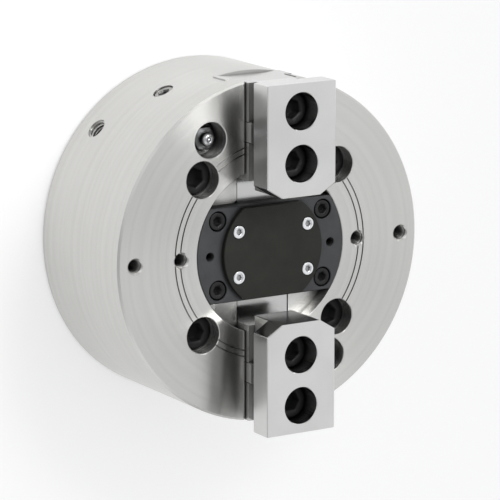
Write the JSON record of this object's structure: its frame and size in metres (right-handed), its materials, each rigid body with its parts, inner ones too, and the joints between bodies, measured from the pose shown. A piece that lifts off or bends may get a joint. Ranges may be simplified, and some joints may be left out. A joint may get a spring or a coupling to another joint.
{
  "type": "two-jaw power chuck",
  "caption": "Round two-jaw wedge power chuck with bolted top jaws, cross keys, a closed centre plate, a draw nut and a rear register.",
  "frame": {"origin": "centre of the rear mounting face", "axes": "+Z is the spindle axis towards the jaws, Y is the sliding direction of the jaws"},
  "size_m": [0.165, 0.1662, 0.1011],
  "materials": {
    "body_steel": "fine-turned and ground",
    "jaw_steel": "ground",
    "hard_steel": "hardened and ground",
    "black_steel": "black oxide, satin",
    "cover_steel": "black oxide, oiled",
    "black_screws": "black oxide",
    "screw_steel": "plain steel",
    "zinc_steel": "zinc plated",
    "seal_rubber": "matte"
  },
  "bodies": {
    "chuck_body": {"chuck_body": "body_steel", "spindle_screws": "black_screws", "rim_plugs": "screw_steel", "grease_nipples": "zinc_steel", "nipple_balls": "zinc_steel", "rear_cover": "black_steel", "rear_cover_screws": "black_screws", "centre_plate": "black_steel", "centre_plate_screws": "black_screws", "cover_seal": "seal_rubber", "cover_plate": "cover_steel", "cover_plate_screws": "zinc_steel"},
    "plunger": {"wedge_plunger": "hard_steel", "nut_retaining_ring": "black_screws", "detent_ball": "zinc_steel", "detent_spring": "zinc_steel", "detent_plug": "black_screws"},
    "draw_nut": {"draw_nut": "hard_steel"},
    "jaw_a": {"master_jaw_a": "hard_steel", "cross_key_a": "hard_steel", "cross_key_screw_a": "black_screws", "top_jaw_a": "jaw_steel", "top_jaw_screws_a": "black_screws"},
    "jaw_b": {"master_jaw_b": "hard_steel", "cross_key_b": "hard_steel", "cross_key_screw_b": "black_screws", "top_jaw_b": "jaw_steel", "top_jaw_screws_b": "black_screws"}
  },
  "joints": [
    {"name": "plunger_slide", "type": "slide", "parent": "chuck_body", "child": "plunger", "axis": [0, 0, -1], "range_m": [0, 0.012]},
    {"name": "jaw_a_slide", "type": "slide", "parent": "chuck_body", "child": "jaw_a", "axis": [0, -1, 0], "range_m": [0, 0.00325]},
    {"name": "jaw_b_slide", "type": "slide", "parent": "chuck_body", "child": "jaw_b", "axis": [0, 1, 0], "range_m": [0, 0.00325]},
    {"name": "draw_nut_turn", "type": "hinge", "parent": "plunger", "child": "draw_nut", "pos_m": [0, 0, 0.036], "axis": [0, 0, 1], "continuous": true}
  ],
  "couplings": [
    {"joint": "jaw_a_slide", "follows": "plunger_slide", "ratio": 0.26795},
    {"joint": "jaw_b_slide", "follows": "plunger_slide", "ratio": 0.26795}
  ]
}
